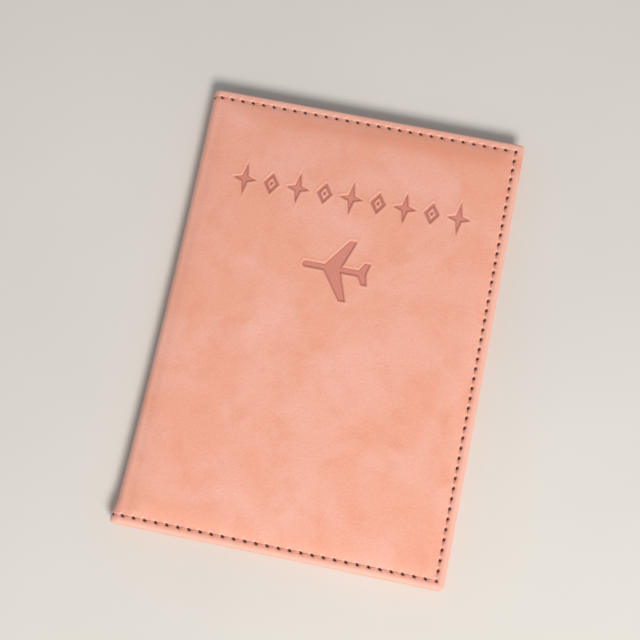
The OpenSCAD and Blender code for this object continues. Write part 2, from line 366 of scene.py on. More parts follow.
def pressed_shapes(u, v, size):
    """Distance inside the nearest pressed shape, and less than 0 outside them all.

    A quarter of a star is two half-planes that meet at its waist. A diamond's distance falls
    evenly along its two half-widths. The aeroplane is a rounded bar with two four-sided wings on
    each side."""
    star = size["star"]
    pitch = (size["row_width"] - 0.72 * star) / 8
    cell = np.clip(np.rint(u / pitch), -4, 4)
    x, y = np.abs(u - cell * pitch), np.abs(v - size["row_y"])
    waist = (0.09 * star, 0.09 * star)
    stars = np.maximum(
        left_of(x, y, (0.36 * star, 0), waist), left_of(x, y, waist, (0, 0.5 * star))
    )
    outer, inner, dot = [
        (1 - x / a - y / b) * a * b / math.hypot(a, b)
        for a, b in ((0.24 * star, 0.34 * star), (0.13 * star, 0.2 * star), (0.05 * star, 0.08 * star))
    ]
    rings = np.maximum(np.minimum(outer, -inner), dot)
    row = np.where(cell % 2 == 0, stars, rings)
    x, y = u / size["plane"], np.abs(v - size["plane_y"]) / size["plane"]
    body = np.minimum(0.045 - np.hypot(np.minimum(x + 0.455, 0), y), 0.445 - x)
    wing = np.minimum(
        np.minimum(left_of(x, y, (0.06, 0), (0.22, 0.46)), left_of(x, y, (0.12, 0.46), (-0.21, 0))),
        0.46 - y,
    )
    tail = np.minimum(
        np.minimum(left_of(x, y, (0.44, 0), (0.48, 0.165)), left_of(x, y, (0.40, 0.165), (0.30, 0))),
        0.165 - y,
    )
    plane = np.maximum(body, np.maximum(wing, tail)) * size["plane"]
    return np.where(v > (size["row_y"] + size["plane_y"]) / 2, row, plane)


# The seam ------------------------------------------------------------------------------------


def seam_holes(shape):
    """Places of the needle holes: u along the top and bottom, and v along the fore-edge.

    The top's first hole lies on the spine, one stitch before the cover's own first."""
    across = round((SEAM_X - PANEL_X) / shape["stitch_across"])
    down = round(2 * SEAM_Y / shape["stitch_down"])
    step = (SEAM_X - PANEL_X) / across
    return PANEL_X + step * np.arange(-1, across + 1), np.linspace(SEAM_Y, -SEAM_Y, down + 1)


def nearest(values, places):
    """Each value's distance past the nearest of evenly spaced places."""
    step = places[1] - places[0]
    index = np.clip(np.rint((values - places[0]) / step), 0, len(places) - 1)
    return values - places[0] - index * step


def seam_marks(u, v, shape):
    """What the seam does to the leather at (u, v): its trough, holes, lips and thread shadows, 0 to 1.

    A hole is a bell, longer along the seam and slanted across it, with a raised lip before it and
    the shadow of the thread behind it. A row's numbers are its distances along and across, its
    inset, the hole's slant, the lip's lean, the hole's reach behind, the shadow's depth, and where
    the row runs."""
    holes_u, holes_v = seam_holes(shape)
    top = EDGE_Y - np.abs(v)
    fore = EDGE_X - u
    marks = {"trough": bell(np.minimum(top, fore) - SEAM, 0.6)}
    for key in ("hole", "lip", "tail"):
        marks[key] = np.zeros_like(u)
    rows = (
        (nearest(u, holes_u), (SEAM - top) * np.sign(v), top, 0.36, 0.3, 0.85, 0.63, u < SEAM_X + 0.4),
        (-nearest(v, holes_v), SEAM - fore, fore, 0.26, -0.3, 0.9, 1, np.abs(v) < SEAM_Y + 0.4),
    )
    for along, across, inset, slant, lean, reach, shade, within in rows:
        near = within & (np.abs(inset - SEAM) < 1.6)
        a = along * math.cos(slant) - across * math.sin(slant)
        c = across * math.cos(slant) + along * math.sin(slant)
        long = np.where(a > 0, reach, 0.58)
        hole = np.exp(-((a / long) ** 2) - (c / 0.4) ** 2)
        # The lip is a raised pucker, and the finish also paints a highlight on it
        lip = np.exp(-(((a + 0.78) / 0.42) ** 2) - ((c - lean) / 0.42) ** 2)
        tail = bell(across, 0.2) * smooth((along - 0.2) / 0.4) * (1 - smooth((along - 0.9) / 1.1))
        marks["hole"] = np.maximum(marks["hole"], hole * near)
        marks["lip"] = np.maximum(marks["lip"], lip * near)
        marks["tail"] = np.maximum(marks["tail"], shade * tail * near)
    return marks


def leather_face(u, v, shape, heights, pressed=None):
    """Height of a cover's outer leather over its margin, and the numbers its finish reads.

    It is the puff and the ripples, less the seam's trough and holes, the pressed shapes and
    the spine's bow, which falls off as height to the power 2.2, and its flared foot is added."""
    rise = puffed(u, v, shape, heights)
    from_edge = np.minimum(EDGE_X - u, EDGE_Y - np.abs(v))
    calm = smooth((from_edge - 3) / 8) * smooth((u - PANEL_X) / 8)
    bow = (1 - np.abs(v / EDGE_Y) ** 2.2) * smooth((BEND_X + 2.5 - u) / 5)
    marks = seam_marks(u, v, shape)
    out = np.minimum(rise + shape["ripple"] * ripples(u, v) * calm, shape["puff"])
    flare = smooth((-v - EDGE_Y + 8) / 7) * smooth((BEND_X + 0.5 - u) / 4)
    out = out - shape["spine_bow"] * bow + shape["spine_flare"] * flare
    out = out - shape["groove"] * marks["trough"]
    out = out - shape["hole"] * marks["hole"] + shape["pucker"] * marks["lip"]
    # Painted highlight: the edge's outer rim is drawn paler all round
    marks["highlit"] = 1 - smooth((from_edge - 0.6) / 1.7)
    # Painted shade: a band just inside the top seam is drawn deeper, as the padded slope there turns
    # away from the light
    marks["top_seam_shade"] = bell(EDGE_Y - v - 6.5, 3.4) * smooth((u + 42) / 25)
    marks["pressed"] = np.zeros_like(u)
    marks["wall"] = np.zeros_like(u)
    if pressed is not None:
        depth = pressed_shapes(u, v, pressed)
        out = out - pressed["depth"] * smooth((depth + 0.3) / 0.5) + 0.09 * bell(depth + 0.55, 0.3)
        marks["pressed"] = smooth((depth + 0.15) / 0.3)
        # Painted shade on the walls of the pressed shapes
        marks["wall"] = bell(depth - 0.16, 0.17)
    return out, marks


def edge_stations(holes, start, end):
    """Fractions from start to end with lines drawn close together at each hole."""
    offsets = np.array([-1.2, -0.78, -0.52, -0.33, -0.16, 0, 0.18, 0.38, 0.62, 1.05])
    places = (holes[:, None] + offsets * np.sign(end - start)).ravel()
    fractions = np.sort((places - start) / (end - start))
    inner = fractions[(fractions > 0.0005) & (fractions < 0.9995)]
    return np.concatenate([[0], inner, [1]])


def edge_band(shape):
    """The band along a cover's three free edges, as u, v, drop and weight, ring by ring.

    Rings run inwards to outwards: over the seam, round the lip as a quarter ellipse, down the wall,
    round its lower edge and back in under the margin. A ring is the outline set in by its distance,
    and its corners are arcs of what is left of the corner's radius."""
    over = [4.1, 3.7, 3.45, 3.24, 3.08, 2.95, 2.83, 2.72, 2.61, 2.5, 2.39, 2.28, 2.17, 2.04, 1.88, 1.66]
    turn = np.radians([0, 16, 32, 48, 64, 78, 90])
    under = np.radians([30, 60, 90])
    low = MARGIN - BOARD[0][2]
    wall = 0.72
    back = shape["turn_in"]
    inset = np.concatenate(
        [over, 1.2 - 1.2 * np.sin(turn), 0.5 - 0.5 * np.cos(under), [1.2, 2.4, back, back]]
    )
    drop = np.concatenate(
        [
            [0.2, 0.06],
            np.zeros(len(over) - 2),
            wall - wall * np.cos(turn),
            wall + (low - wall) * np.sin(under),
            [low, low, low, low - 0.5],
        ]
    )
    weight = np.concatenate([np.ones(len(over)), np.cos(turn), np.zeros(len(under) + 4)])
    d = inset[:, None]
    r = np.maximum(shape["corner"] - d, 0.25)
    holes_u, holes_v = seam_holes(shape)
    across = edge_stations(holes_u, FOLD_U, SEAM_X - 0.25)
    down = edge_stations(holes_v, SEAM_Y - 0.25, 0.25 - SEAM_Y)
    angle = np.linspace(math.pi / 2, 0, 9)[1:-1]
    top_u = FOLD_U + across * (EDGE_X - d - r - FOLD_U)
    arc_u = EDGE_X - d - r + r * np.cos(angle)
    arc_v = EDGE_Y - d - r + r * np.sin(angle)
    side_v = (EDGE_Y - d - r) * (1 - 2 * down)
    top_v = EDGE_Y - d + 0 * across
    side_u = EDGE_X - d + 0 * down
    u = np.concatenate([top_u, arc_u, side_u, arc_u[:, ::-1], top_u[:, ::-1]], 1)
    v = np.concatenate([top_v, arc_v, side_v, -arc_v[:, ::-1], -top_v[:, ::-1]], 1)
    return u, v, drop[:, None], weight[:, None]


def outer_hide(name, side, shape, heights, material, pressed=None):
    """A cover's outer leather from the spine's middle to its folded edge: a grid for the face,
    drawn finer over the pressed shapes, and the edge band lapped just under its border."""
    rim_x, rim_y = EDGE_X - 3.5, EDGE_Y - 3.5
    if pressed:
        half = pressed["row_width"] / 2 + 0.9
        u_lines = spaced((FOLD_U, 0.4), (PANEL_X, 0.9), (-half, 0.28), (half, 0.8), (rim_x, 0))
        low = pressed["plane_y"] - pressed["plane"] / 2 - 0.5
        high = pressed["plane_y"] + pressed["plane"] / 2
        row_low, row_high = pressed["row_y"] - 5.8, pressed["row_y"] + 5.8
        v_lines = spaced(
            (-rim_y, 0.6), (4.5 - rim_y, 1.7), (low, 0.28), (high, 1.2),
            (row_low, 0.28), (row_high, 1.2), (rim_y - 4.5, 0.6), (rim_y, 0),
        )
    else:
        u_lines = spaced((FOLD_U, 0.4), (PANEL_X, 0.9), (rim_x, 0))
        v_lines = spaced((-rim_y, 0.6), (4.5 - rim_y, 1.4), (rim_y - 4.5, 0.6), (rim_y, 0))
    u, v = np.meshgrid(u_lines, v_lines)
    out, marks = leather_face(u, v, shape, heights, pressed)
    band_u, band_v, drop, weight = edge_band(shape)
    band_out, band_marks = leather_face(band_u, band_v, shape, heights)
    foot = smooth((-band_v - EDGE_Y + 8) / 7) * smooth((BEND_X + 0.5 - band_u) / 4)
    foot = shape["spine_flare"] * foot
    band_out = (band_out - foot) * weight - drop + foot
    points = np.concatenate([wrap(u, v, out, side), wrap(band_u, band_v, band_out, side)])
    faces = np.concatenate([grid_faces(*u.shape), grid_faces(*band_u.shape, first=u.size)])
    flat = np.concatenate([laid_flat(u, v, side), laid_flat(band_u, band_v, side)])
    values = {
        key: np.concatenate([marks[key].ravel(), (band_marks[key] * (weight > 0.02)).ravel()])
        for key in marks
    }
    return add_mesh(name, points, facing(faces, side), material, flat, values)


# Layers inside the covers --------------------------------------------------------------------


def still(u, v):
    """No bulge."""
    return 0 * u


def layer(
    name, side, place, low, high, material,
    corner=0.4, top=None, cut=False, rows=(), columns=(), bulge=still,
):
    """A thin closed layer, drawn from (u0, u1, v0, v1) between two heights over the mid-plane.

    Its two faces meet at a rounded rim, where the half-thickness follows a quarter circle. Rows near
    a fore-edge corner are shortened by the corner's arc. `top` replaces the outer height, `cut` leaves
    the spine side unrounded, and the inner face dips under the stitches, at SEAM and at rows and
    columns. Both faces move in by `bulge`."""
    u0, u1, v0, v1 = place
    rim = np.array([0, 0.04, 0.12, 0.3, 0.6, 1, 1.4, 1.8, 2.1, 2.5, 2.9, 3.3])
    bend = spaced((u0, 0.4), (PANEL_X, 0)) if u0 < PANEL_X else u0 + rim
    middle = spaced((bend[-1], 1.8), (u1 - 3.3, 0))[1:]
    u_lines = np.concatenate([bend, middle, (u1 - rim[::-1])[1:]])
    middle = spaced((v0 + 3.3, 1.8), (v1 - 3.3, 0))[1:]
    v_lines = np.concatenate([v0 + rim, middle, (v1 - rim[::-1])[1:]])
    base, v = np.meshgrid(u_lines, v_lines)
    from_end = np.minimum(v - v0, v1 - v)
    short = np.where(np.abs(v) > EDGE_Y - 2 - corner, np.maximum(corner - from_end, 0), 0)
    right = u1 - corner + np.sqrt(np.maximum(corner**2 - short**2, 0))
    u = u0 + (base - u0) * (right - u0) / (u1 - u0)
    inner = np.minimum(right - u, from_end)
    inner = inner if cut else np.minimum(inner, u - u0)
    half = (high - low) / 2
    swell = np.sqrt(1 - (1 - np.clip(inner / half, 0, 1)) ** 2)
    dips = bell(np.minimum(EDGE_X - u, EDGE_Y - np.abs(v)) - SEAM, 0.5)
    for y in rows:
        dips = np.maximum(dips, bell(v - y, 0.5))
    for x in columns:
        dips = np.maximum(dips, bell(u - x, 0.5))
    upper = low + half + half * swell
    if top is not None:
        upper = low + half + (top(u, v) - low - half) * swell
    lower = low + half - half * swell + 0.1 * min(1, 2 * half / 0.4) * dips * swell * (top is None)
    upper, lower = upper - bulge(u, v), lower - bulge(u, v)
    points = np.concatenate([wrap(u, v, upper - MARGIN, side), wrap(u, v, lower - MARGIN, side)])
    sheets = [grid_faces(*u.shape), grid_faces(*u.shape, first=u.size)[:, ::-1]]
    if cut:
        start = u.shape[1] * np.arange(u.shape[0])
        sheets.append(np.stack([start[:-1], start[1:], start[1:] + u.size, start[:-1] + u.size], -1))
    flat = np.tile(laid_flat(u, v, side), (2, 1))
    return add_mesh(name, points, facing(np.concatenate(sheets), side), material, flat, merge=True)


def open_edge(u, v, left, loose):
    """Bulge along a panel's open spine edge: it dies away to 1 / e in 11 mm, and the edge's
    two ends are held by the seam, as a sine to the power 1.5."""
    held = np.sin(math.pi * np.clip((v + SEAM_Y) / (2 * SEAM_Y), 0, 1)) ** 1.5
    return loose * held * np.exp(-np.maximum(u - left, 0) / 11)


def mouth_bulge(u, v, left, mouth, loose):
    """Bulge below a pocket's mouth, dying away to 1 / e in 13 mm and held at both sides."""
    held = np.sin(math.pi * np.clip((u - left) / (SEAM_X - left), 0, 1)) ** 1.5
    return loose * held * np.exp(-np.abs(mouth - v) / 13)


# Stitches ------------------------------------------------------------------------------------


def stitches(name, side, runs, material, inward=False, bulge=still):
    """Threads from hole to hole, each a six-sided tube along seven points, with closed ends.

    A run is (start, end, stitch, height, joined): two (u, v) points, the stitch length, the height of
    the surface over the mid-plane, less `bulge` on a loose one, and whether the first end carries on
    into another piece. A stitch dips into its holes, bows up a little between them and slants by a
    fifth of its thickness."""
    t = np.array([0, 0.12, 0.25, 0.5, 0.86, 0.95, 1])
    bow = np.array([-0.4, -0.25, 0.0, 0.05, 0.0, -0.14, -0.4])
    thick = np.array([0.75, 0.9, 1, 1.02, 1, 0.9, 0.75])
    spin = np.radians(60 * np.arange(6) + 30)
    points, flat, sunk = [], [], []
    for start, end, stitch, height, joined in runs:
        start, end = np.array(start, float), np.array(end, float)
        count = max(1, round(np.linalg.norm(end - start) / stitch))
        step = (end - start) / count
        across = np.array([-step[1], step[0]]) / np.linalg.norm(step)
        first = np.arange(count)[:, None, None, None]
        carried = joined & (first == 0) & (np.arange(7)[:, None, None] < 3)
        lift = np.where(carried, 0.03, bow[:, None, None])
        centre = start + step * (first + t[:, None, None])
        centre = centre + across * ((t - 0.5) * 0.4 * THREAD)[:, None, None]
        radius = THREAD / 2 * thick[:, None, None]
        place = centre + across * radius * np.cos(spin)[:, None]
        level = lift + radius * np.sin(spin)[:, None]
        out = height - MARGIN + (-level if inward else level)
        u, v, out = np.broadcast_arrays(place[..., 0], place[..., 1], out[..., 0])
        out = out - bulge(u, v)
        points.append(wrap(u, v, out, side))
        flat.append(laid_flat(u, v, side))
        # Painted shade: the thread's ends in the holes are marked to be drawn near-black
        sunk.append(np.broadcast_to(smooth(-lift[..., 0] / 0.3), u.shape).ravel())
    points, flat, sunk = np.concatenate(points), np.concatenate(flat), np.concatenate(sunk)
    ring = np.arange(6)
    after = (ring + 1) % 6
    tube = [6 * k + np.stack([ring, after, after + 6, ring + 6], -1) for k in range(6)]
    caps = np.array([[3, 2, 1, 0], [5, 4, 3, 0], [36, 37, 38, 39], [36, 39, 40, 41]])
    one = np.concatenate(tube + [caps])
    faces = (one + 42 * np.arange(len(points) // 42)[:, None, None]).reshape(-1, 4)
    if inward:
        faces = faces[:, ::-1]
    return add_mesh(name, points, facing(faces, side)[:, ::-1], material, flat, {"sunk": sunk})


# Finishes ------------------------------------------------------------------------------------


def new_material(name):
    """An empty material with its output, and its tree."""
    material = bpy.data.materials.new(name)
    material.use_nodes = True
    material.node_tree.nodes.clear()
    return material, material.node_tree


def add_node(tree, kind, inputs=None, **settings):
    """Adds a shader node, sets its properties, and links or fills its inputs."""
    made = tree.nodes.new("ShaderNode" + kind)
    for key, value in settings.items():
        setattr(made, key, value)
    for key, value in (inputs or {}).items():
        if isinstance(value, bpy.types.NodeSocket):
            tree.links.new(value, made.inputs[key])
        else:
            made.inputs[key].default_value = value
    return made


def rgba(value):
    """A colour property as a node's colour."""
    return (*value, 1)


def nubuck_leatherette(colours):
    """Polyurethane leather with a napped, nubuck-like face, hot-stamped for the pressed shapes.

    To the eye: no mirror gloss, faint 10 to 30 mm clouds of paler and deeper salmon and a fine nap.
    Painted shade deepens a band inside the top seam and the seam's trough, browns the walls of the
    stamped shapes and the thread's shadows, and makes the needle holes near-black; painted highlights
    pale the lips beside the holes and the edge's outer rim."""
    material, tree = new_material("nubuck_polyurethane_leather")
    at = add_node(tree, "TexCoord").outputs["UV"]
    # A unit of the map is 100 mm: clouds of 22 mm and 8 mm, and a nap of 0.7 mm
    broad = add_node(
        tree,
        "TexNoise",
        {"Vector": at, "Scale": 4.5, "Detail": 3, "Roughness": 0.55, "Distortion": 0.6},
    )
    patchy = add_node(
        tree,
        "TexNoise",
        {"Vector": at, "Scale": 12.0, "Detail": 4, "Roughness": 0.6, "Distortion": 0.3},
    )
    nap = add_node(tree, "TexNoise", {"Vector": at, "Scale": 140.0, "Detail": 3, "Roughness": 0.7})
    pale = add_node(tree, "MapRange", {0: broad.outputs[0], 1: 0.42, 2: 0.7, 3: 0.0, 4: 0.5})
    deep = add_node(tree, "MapRange", {0: patchy.outputs[0], 1: 0.5, 2: 0.72, 3: 0.0, 4: 0.45})
    tone = add_node(
        tree,
        "Mix",
        {0: pale.outputs[0], 6: rgba(colours.leather), 7: rgba(colours.leather_pale)},
        data_type="RGBA",
    )
    tone = add_node(
        tree,
        "Mix",
        {0: deep.outputs[0], 6: tone.outputs[2], 7: rgba(colours.leather_deep)},
        data_type="RGBA",
    )
    speck = add_node(tree, "MapRange", {0: nap.outputs[0], 1: 0.3, 2: 0.7, 3: 0.94, 4: 1.06})
    tone = add_node(
        tree, "VectorMath", {0: tone.outputs[2], "Scale": speck.outputs[0]}, operation="SCALE"
    )
    marks = {}
    for key in ("trough", "hole", "lip", "tail", "highlit", "top_seam_shade", "pressed", "wall"):
        marks[key] = add_node(tree, "Attribute", attribute_name=key).outputs["Fac"]
    last = tone.outputs[0]
    layers = (
        # Painted highlight along the edge's outer rim
        ("highlit", 0.6, colours.leather_pale),
        # Painted shade in the band inside the top seam
        ("top_seam_shade", 0.75, colours.leather_deep),
        # Painted shade in the seam's trough
        ("trough", 0.25, colours.leather_deep),
        # Painted highlight on the lip beside each needle hole
        ("lip", 0.95, colours.leather_pale),
        ("pressed", 0.8, colours.leather_pressed),
        # Painted shade on the walls of the pressed shapes
        ("wall", 0.62, colours.leather_shade),
        # Painted shade: the thread's shadow behind each needle hole
        ("tail", 0.6, colours.leather_shade),
    )
    for key, share, tint in layers:
        amount = add_node(tree, "Math", {0: marks[key], 1: share}, operation="MULTIPLY")
        last = add_node(
            tree, "Mix", {0: amount.outputs[0], 6: last, 7: rgba(tint)}, data_type="RGBA"
        ).outputs[2]
    # Painted shade: the needle holes are drawn near-black
    inside = add_node(tree, "MapRange", {0: marks["hole"], 1: 0.28, 2: 0.55, 3: 0.0, 4: 1.0})
    last = add_node(
        tree, "Mix", {0: inside.outputs[0], 6: last, 7: rgba(colours.hole)}, data_type="RGBA"
    ).outputs[2]
    grain = add_node(tree, "TexVoronoi", {"Vector": at, "Scale": 110.0}, feature="SMOOTH_F1")
    relief = add_node(tree, "Math", {0: grain.outputs[0], 1: nap.outputs[0]}, operation="ADD")
    bump = add_node(
        tree, "Bump", {"Height": relief.outputs[0], "Strength": 0.35, "Distance": 0.00012}
    )
    rough = add_node(tree, "MapRange", {0: patchy.outputs[0], 1: 0.3, 2: 0.7, 3: 0.6, 4: 0.67})
    shader = add_node(
        tree,
        "BsdfPrincipled",
        {
            "Base Color": last,
            "Roughness": rough.outputs[0],
            "Normal": bump.outputs[0],
            "IOR": 1.46,
            "Sheen Weight": 0.12,
            "Sheen Roughness": 0.5,
        },
    )
    add_node(tree, "OutputMaterial", {"Surface": shader.outputs[0]})
    return material


def pocket_leatherette(colours):
    """The same leather split thinner for the pockets, rolled smooth: finer grain, more sheen."""
    material, tree = new_material("thin_polyurethane_leather")
    at = add_node(tree, "TexCoord").outputs["UV"]
    cloud = add_node(tree, "TexNoise", {"Vector": at, "Scale": 7.0, "Detail": 4, "Roughness": 0.55})
    grain = add_node(
        tree, "TexVoronoi", {"Vector": at, "Scale": 90.0, "Randomness": 0.9}, feature="SMOOTH_F1"
    )
    fine = add_node(tree, "TexNoise", {"Vector": at, "Scale": 160.0, "Detail": 2})
    pale = add_node(tree, "MapRange", {0: cloud.outputs[0], 1: 0.4, 2: 0.7, 3: 0.05, 4: 0.4})
    tone = add_node(
        tree,
        "Mix",
        {0: pale.outputs[0], 6: rgba(colours.pocket), 7: rgba(colours.leather_pale)},
        data_type="RGBA",
    )
    shade = add_node(tree, "MapRange", {0: grain.outputs[0], 1: 0.0, 2: 0.9, 3: 1.03, 4: 0.93})
    tone = add_node(
        tree, "VectorMath", {0: tone.outputs[2], "Scale": shade.outputs[0]}, operation="SCALE"
    )
    relief = add_node(tree, "Math", {0: grain.outputs[0], 1: fine.outputs[0]}, operation="ADD")
    bump = add_node(
        tree, "Bump", {"Height": relief.outputs[0], "Strength": 0.4, "Distance": 0.00014}
    )
    shader = add_node(
        tree,
        "BsdfPrincipled",
        {
            "Base Color": tone.outputs[0],
            "Roughness": 0.5,
            "Normal": bump.outputs[0],
            "IOR": 1.46,
            "Sheen Weight": 0.08,
        },
    )
    add_node(tree, "OutputMaterial", {"Surface": shader.outputs[0]})
    return material


def woven_lining(colours):
    """Plain-woven polyester lining: 0.25 mm yarns, drawn at 1.3 mm so that the weave shows."""
    material, tree = new_material("woven_polyester_lining")
    at = add_node(tree, "TexCoord").outputs["UV"]
    # One wave is 0.2 pi / scale of a unit: a scale of 48 gives bands 1.3 mm apart
    warp = add_node(
        tree, "TexWave", {"Vector": at, "Scale": 48.0, "Distortion": 0.0}, bands_direction="X"
    )
    weft = add_node(
        tree, "TexWave", {"Vector": at, "Scale": 48.0, "Distortion": 0.0}, bands_direction="Y"
    )
    weave = add_node(
        tree, "Math", {0: warp.outputs["Fac"], 1: weft.outputs["Fac"]}, operation="MULTIPLY"
    )
    slub = add_node(tree, "TexNoise", {"Vector": at, "Scale": 30.0, "Detail": 4})
    shade = add_node(tree, "MapRange", {0: weave.outputs[0], 3: 0.93, 4: 1.06})
    uneven = add_node(tree, "MapRange", {0: slub.outputs[0], 1: 0.3, 2: 0.7, 3: 0.97, 4: 1.03})
    both = add_node(tree, "Math", {0: shade.outputs[0], 1: uneven.outputs[0]}, operation="MULTIPLY")
    tone = add_node(
        tree,
        "VectorMath",
        {0: rgba(colours.lining)[:3], "Scale": both.outputs[0]},
        operation="SCALE",
    )
    bump = add_node(
        tree, "Bump", {"Height": weave.outputs[0], "Strength": 0.35, "Distance": 0.0001}
    )
    shader = add_node(
        tree,
        "BsdfPrincipled",
        {
            "Base Color": tone.outputs[0],
            "Roughness": 0.8,
            "Normal": bump.outputs[0],
            "IOR": 1.5,
            "Sheen Weight": 0.3,
        },
    )
    add_node(tree, "OutputMaterial", {"Surface": shader.outputs[0]})
    return material


def polyester_thread(colours):
    """Three-ply polyester sewing thread: soft gloss, with its twist as fine slanting bands."""
    material, tree = new_material("polyester_sewing_thread")
    at = add_node(tree, "TexCoord").outputs["UV"]
    twist = add_node(
        tree,
        "TexWave",
        {"Vector": at, "Scale": 90.0, "Distortion": 0.5},
        bands_direction="DIAGONAL",
    )
    fluff = add_node(tree, "TexNoise", {"Vector": at, "Scale": 60.0, "Detail": 3})
    shade = add_node(tree, "MapRange", {0: twist.outputs["Fac"], 3: 0.72, 4: 1.05})
    uneven = add_node(tree, "MapRange", {0: fluff.outputs[0], 1: 0.3, 2: 0.7, 3: 0.88, 4: 1.1})
    both = add_node(tree, "Math", {0: shade.outputs[0], 1: uneven.outputs[0]}, operation="MULTIPLY")
    tone = add_node(
        tree,
        "VectorMath",
        {0: rgba(colours.thread)[:3], "Scale": both.outputs[0]},
        operation="SCALE",
    )
    # Painted shade: the thread's ends sunk in the holes are drawn near-black
    sunk = add_node(tree, "Attribute", attribute_name="sunk").outputs["Fac"]
    deep = add_node(
        tree, "Mix", {0: sunk, 6: tone.outputs[0], 7: rgba(colours.hole)}, data_type="RGBA"
    )
    bump = add_node(
        tree, "Bump", {"Height": twist.outputs["Fac"], "Strength": 0.5, "Distance": 0.00005}
    )
    shader = add_node(
        tree,
        "BsdfPrincipled",
        {
            "Base Color": deep.outputs[2],
            "Roughness": 0.5,
            "Normal": bump.outputs[0],
            "IOR": 1.5,
            "Sheen Weight": 0.2,
        },
    )
    add_node(tree, "OutputMaterial", {"Surface": shader.outputs[0]})
    return material


def open_foam(colours):
    """Open-cell polyurethane foam, sliced from a block: cream, dull, with 1 mm cells."""
    material, tree = new_material("open_cell_polyurethane_foam")
    at = add_node(tree, "TexCoord").outputs["Object"]
    cells = add_node(tree, "TexVoronoi", {"Vector": at, "Scale": 1000.0}, feature="F1")
    shade = add_node(tree, "MapRange", {0: cells.outputs[0], 1: 0.0, 2: 0.8, 3: 0.75, 4: 1.05})
    tone = add_node(
        tree,
        "VectorMath",
        {0: rgba(colours.foam)[:3], "Scale": shade.outputs[0]},
        operation="SCALE",
    )
    bump = add_node(tree, "Bump", {"Height": cells.outputs[0], "Strength": 0.8, "Distance": 0.0003})
    shader = add_node(
        tree,
        "BsdfPrincipled",
        {"Base Color": tone.outputs[0], "Roughness": 0.95, "Normal": bump.outputs[0], "IOR": 1.5},
    )
    add_node(tree, "OutputMaterial", {"Surface": shader.outputs[0]})
    return material


def grey_board(colours):
    """Recycled grey board, pressed from pulp: matt, with darker flecks and 3 mm fibres."""
    material, tree = new_material("recycled_grey_board")
    at = add_node(tree, "TexCoord").outputs["Object"]
    long = add_node(tree, "Mapping", {"Vector": at, "Scale": (1.0, 0.35, 1.0)})
    fibre = add_node(
        tree, "TexNoise", {"Vector": long.outputs[0], "Scale": 900.0, "Detail": 4, "Roughness": 0.7}
    )
    fleck = add_node(tree, "TexNoise", {"Vector": at, "Scale": 350.0, "Detail": 2})
    shade = add_node(tree, "MapRange", {0: fibre.outputs[0], 1: 0.3, 2: 0.7, 3: 0.85, 4: 1.12})
    spots = add_node(tree, "MapRange", {0: fleck.outputs[0], 1: 0.62, 2: 0.75, 3: 1.0, 4: 0.7})
    both = add_node(tree, "Math", {0: shade.outputs[0], 1: spots.outputs[0]}, operation="MULTIPLY")
    tone = add_node(
        tree,
        "VectorMath",
        {0: rgba(colours.board)[:3], "Scale": both.outputs[0]},
        operation="SCALE",
    )
    bump = add_node(tree, "Bump", {"Height": fibre.outputs[0], "Strength": 0.4, "Distance": 0.0001})
    shader = add_node(
        tree,
        "BsdfPrincipled",
        {"Base Color": tone.outputs[0], "Roughness": 0.9, "Normal": bump.outputs[0], "IOR": 1.5},
    )
    add_node(tree, "OutputMaterial", {"Surface": shader.outputs[0]})
    return material


def finish_named(name, maker, context):
    """The named finish, made the first time it is asked for."""
    return bpy.data.materials.get(name) or maker(context.scene.holder_colours)


# Pieces --------------------------------------------------------------------------------------


def bend_over_fold(piece, side):
    """Bakes the piece's transform into its mesh, the same on either side."""
    if side == FRONT:
        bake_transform(piece)
    else:
        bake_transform(piece)


SIDES = ((FRONT, "front", "front_cover"), (BACK, "back", "back_cover"))
HEIGHTS = {}


def face_heights():
    """The blown sheet, run once."""
    if "face" not in HEIGHTS:
        HEIGHTS["face"] = blown_sheet()
    return HEIGHTS["face"]


